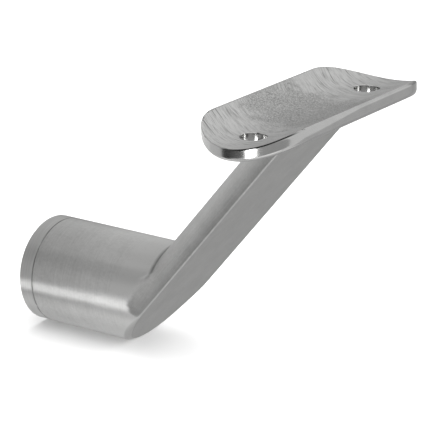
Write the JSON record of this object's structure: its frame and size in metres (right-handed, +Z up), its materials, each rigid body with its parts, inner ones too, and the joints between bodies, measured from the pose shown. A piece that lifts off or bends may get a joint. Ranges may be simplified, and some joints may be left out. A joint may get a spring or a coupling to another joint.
{
  "type": "handrail bracket",
  "caption": "Wall bracket for a round handrail: round base on a wall disc, rising flat-fronted arm and curved saddle plate with screw holes.",
  "frame": {"origin": "centre of the wall disc's rear face, on the base axis", "axes": "+X out of the wall along the base axis, +Y along the handrail, +Z up"},
  "size_m": [0.084, 0.06, 0.0633],
  "materials": {
    "brushed_stainless": "cast stainless steel, brushed along the arm and round the base",
    "brushed_stainless_disc": "turned stainless steel, brushed round its rim",
    "screw_stainless": "plain stainless set screw"
  },
  "bodies": {
    "root": {"bracket_body": "brushed_stainless", "wall_disc": "brushed_stainless_disc", "grub_screw": "screw_stainless"}
  },
  "joints": []
}
